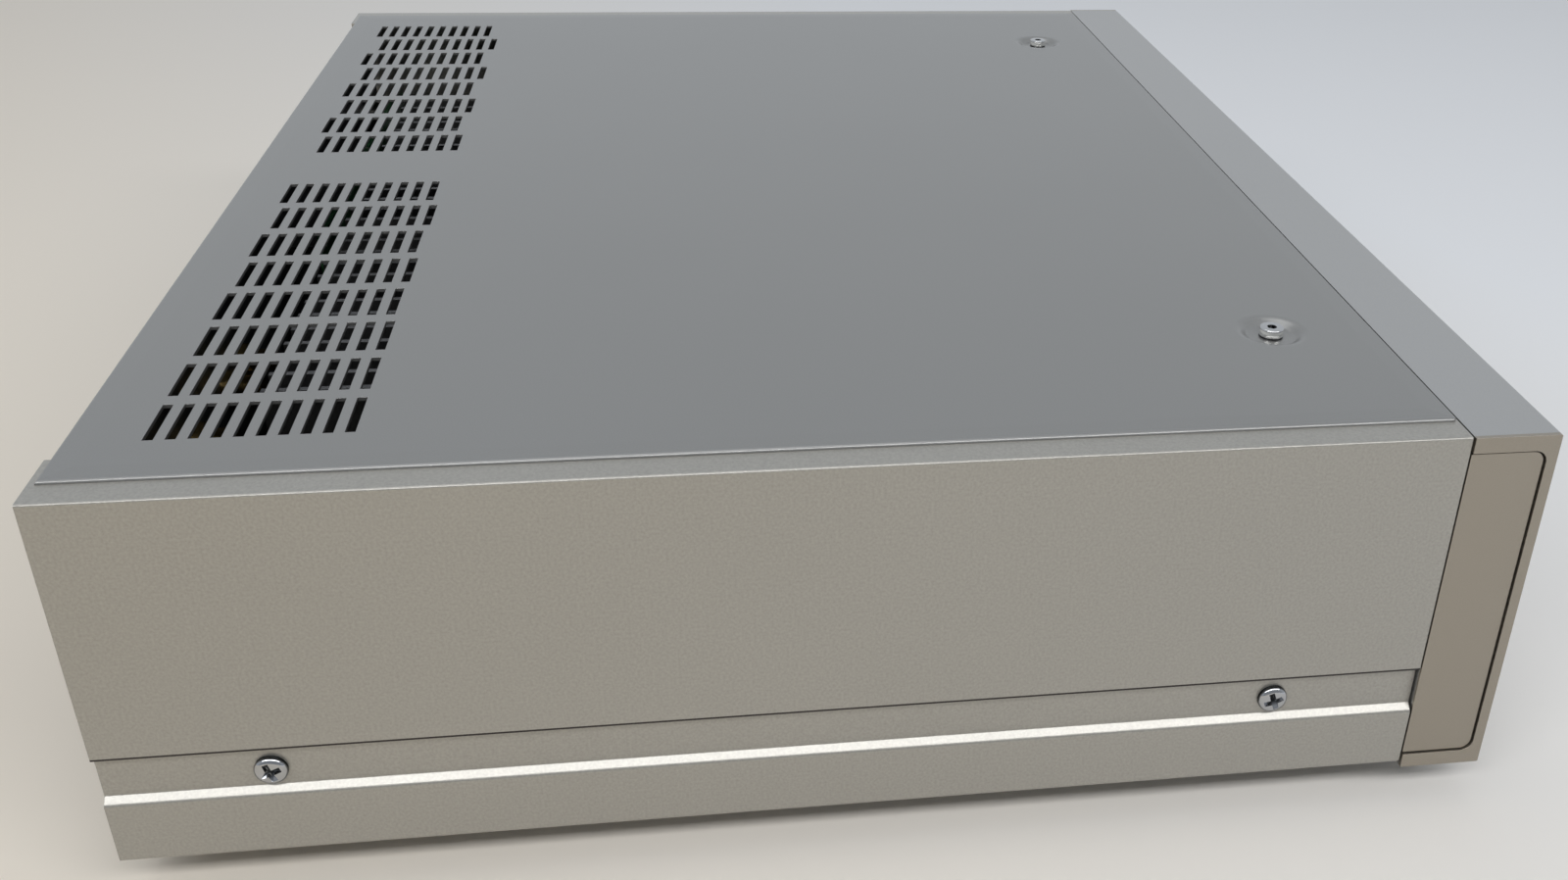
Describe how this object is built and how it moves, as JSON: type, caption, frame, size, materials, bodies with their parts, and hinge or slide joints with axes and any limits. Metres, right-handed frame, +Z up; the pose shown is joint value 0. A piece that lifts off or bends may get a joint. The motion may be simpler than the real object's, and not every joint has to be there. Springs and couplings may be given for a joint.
{
  "type": "stereo receiver",
  "caption": "Full-width stereo receiver with a sheet-metal case, vented top cover, aluminium front, turning knobs, push buttons and rear sockets.",
  "frame": {"origin": "bottom centre of the whole object, on the surface that its feet stand on", "axes": "+Z up, +X across to the right seen from the front, the front faces -Y"},
  "size_m": [0.4412, 0.3994, 0.1188],
  "materials": {
    "silver_cover": "fine satin silver paint",
    "silver_case": "fine metallic silver paint",
    "fascia_aluminium": "satin anodised",
    "knob_aluminium": "turned and anodised",
    "zinc_steel": "zinc plated",
    "bright_screws": "bright zinc",
    "black_panel": "fine black paint",
    "black_plastic": "moulded",
    "red_plastic": "moulded",
    "lever_plastic": "moulded",
    "rubber_pad": "matt",
    "smoked_window": "polished",
    "display_glass": "clear",
    "board_green": "solder mask",
    "brass_plate": "gold plated",
    "nickel_plate": "nickel plated",
    "heatsink_aluminium": "black anodised",
    "capacitor_sleeve": "shrink sleeve",
    "transformer_wrap": "taped winding over a steel core"
  },
  "bodies": {
    "chassis": {"aerial_terminal": "black_plastic", "amplifier_board": "board_green", "base_tray": "silver_case", "binding_posts": "brass_plate", "board_standoffs": "brass_plate", "button_switches": "black_plastic", "chassis_screws": "zinc_steel", "control_board": "board_green", "cover_screws": "bright_screws", "display_tube": "display_glass", "display_window": "smoked_window", "feet": "black_plastic", "filter_capacitors": "capacitor_sleeve", "fm_socket": "nickel_plate", "foot_pads": "rubber_pad", "foot_screws": "zinc_steel", "front_fascia": "fascia_aluminium", "front_subchassis": "zinc_steel", "headphone_jack": "black_plastic", "heatsink": "heatsink_aluminium", "input_board": "board_green", "input_encoder": "zinc_steel", "left_end_cap": "fascia_aluminium", "left_side_panel": "silver_case", "mains_inlet": "black_plastic", "mains_inlet_pins": "nickel_plate", "output_transistors": "black_plastic", "power_transformer": "transformer_wrap", "rca_block": "black_plastic", "rca_shells": "brass_plate", "rear_panel": "black_panel", "right_end_cap": "fascia_aluminium", "right_side_panel": "silver_case", "side_screws": "bright_screws", "speaker_terminal_plate": "black_plastic", "tone_potentiometers": "zinc_steel", "top_cover": "silver_cover", "transformer_bolt": "zinc_steel", "transformer_clamp": "zinc_steel", "tuner_module": "zinc_steel", "volume_potentiometer": "zinc_steel"},
    "volume": {"volume_knob": "knob_aluminium", "volume_shaft": "zinc_steel"},
    "input": {"input_knob": "knob_aluminium", "input_shaft": "zinc_steel"},
    "bass": {"bass_knob": "knob_aluminium"},
    "treble": {"treble_knob": "knob_aluminium"},
    "balance": {"balance_knob": "knob_aluminium"},
    "power_button": {"power_button": "knob_aluminium"},
    "tuner_button_1": {"tuner_button_1": "knob_aluminium"},
    "tuner_button_2": {"tuner_button_2": "knob_aluminium"},
    "tuner_button_3": {"tuner_button_3": "knob_aluminium"},
    "tuner_button_4": {"tuner_button_4": "knob_aluminium"},
    "tuner_button_5": {"tuner_button_5": "knob_aluminium"},
    "post_cap_right_red": {"post_cap_right_red": "red_plastic"},
    "post_cap_right_black": {"post_cap_right_black": "black_plastic"},
    "post_cap_left_red": {"post_cap_left_red": "red_plastic"},
    "post_cap_left_black": {"post_cap_left_black": "black_plastic"},
    "aerial_lever_inner": {"aerial_lever_inner": "lever_plastic"},
    "aerial_lever_outer": {"aerial_lever_outer": "lever_plastic"}
  },
  "joints": [
    {"name": "volume_turn", "type": "hinge", "parent": "chassis", "child": "volume", "pos_m": [0.155, -0.17965, 0.0697], "axis": [0, 1, 0], "range_deg": [-150, 150]},
    {"name": "input_turn", "type": "hinge", "parent": "chassis", "child": "input", "pos_m": [-0.16, -0.17965, 0.0757], "axis": [0, 1, 0], "continuous": true},
    {"name": "bass_turn", "type": "hinge", "parent": "chassis", "child": "bass", "pos_m": [-0.095, -0.17965, 0.037], "axis": [0, 1, 0], "range_deg": [-140, 140]},
    {"name": "treble_turn", "type": "hinge", "parent": "chassis", "child": "treble", "pos_m": [-0.063, -0.17965, 0.037], "axis": [0, 1, 0], "range_deg": [-140, 140]},
    {"name": "balance_turn", "type": "hinge", "parent": "chassis", "child": "balance", "pos_m": [-0.031, -0.17965, 0.037], "axis": [0, 1, 0], "range_deg": [-140, 140]},
    {"name": "power_press", "type": "slide", "parent": "chassis", "child": "power_button", "axis": [0, 1, 0], "range_m": [0, 0.002], "stiffness_N_per_m": 300, "springref_m": -0.002},
    {"name": "tuner_button_1_press", "type": "slide", "parent": "chassis", "child": "tuner_button_1", "axis": [0, 1, 0], "range_m": [0, 0.001], "stiffness_N_per_m": 400, "springref_m": -0.001},
    {"name": "tuner_button_2_press", "type": "slide", "parent": "chassis", "child": "tuner_button_2", "axis": [0, 1, 0], "range_m": [0, 0.001], "stiffness_N_per_m": 400, "springref_m": -0.001},
    {"name": "tuner_button_3_press", "type": "slide", "parent": "chassis", "child": "tuner_button_3", "axis": [0, 1, 0], "range_m": [0, 0.001], "stiffness_N_per_m": 400, "springref_m": -0.001},
    {"name": "tuner_button_4_press", "type": "slide", "parent": "chassis", "child": "tuner_button_4", "axis": [0, 1, 0], "range_m": [0, 0.001], "stiffness_N_per_m": 400, "springref_m": -0.001},
    {"name": "tuner_button_5_press", "type": "slide", "parent": "chassis", "child": "tuner_button_5", "axis": [0, 1, 0], "range_m": [0, 0.001], "stiffness_N_per_m": 400, "springref_m": -0.001},
    {"name": "post_cap_right_red_turn", "type": "hinge", "parent": "chassis", "child": "post_cap_right_red", "pos_m": [-0.062, 0.18365, 0.075], "axis": [0, 1, 0], "range_deg": [0, 1170]},
    {"name": "post_cap_right_black_turn", "type": "hinge", "parent": "chassis", "child": "post_cap_right_black", "pos_m": [-0.081, 0.18365, 0.075], "axis": [0, 1, 0], "range_deg": [0, 1170]},
    {"name": "post_cap_left_red_turn", "type": "hinge", "parent": "chassis", "child": "post_cap_left_red", "pos_m": [-0.115, 0.18365, 0.075], "axis": [0, 1, 0], "range_deg": [0, 1170]},
    {"name": "post_cap_left_black_turn", "type": "hinge", "parent": "chassis", "child": "post_cap_left_black", "pos_m": [-0.134, 0.18365, 0.075], "axis": [0, 1, 0], "range_deg": [0, 1170]},
    {"name": "aerial_lever_inner_tilt", "type": "hinge", "parent": "chassis", "child": "aerial_lever_inner", "pos_m": [0.176, 0.18535, 0.058], "axis": [1, 0, 0], "range_deg": [0, 25], "stiffness_Nm_per_rad": 0.02, "springref_deg": -11.46},
    {"name": "aerial_lever_outer_tilt", "type": "hinge", "parent": "chassis", "child": "aerial_lever_outer", "pos_m": [0.188, 0.18535, 0.058], "axis": [1, 0, 0], "range_deg": [0, 25], "stiffness_Nm_per_rad": 0.02, "springref_deg": -11.46}
  ]
}
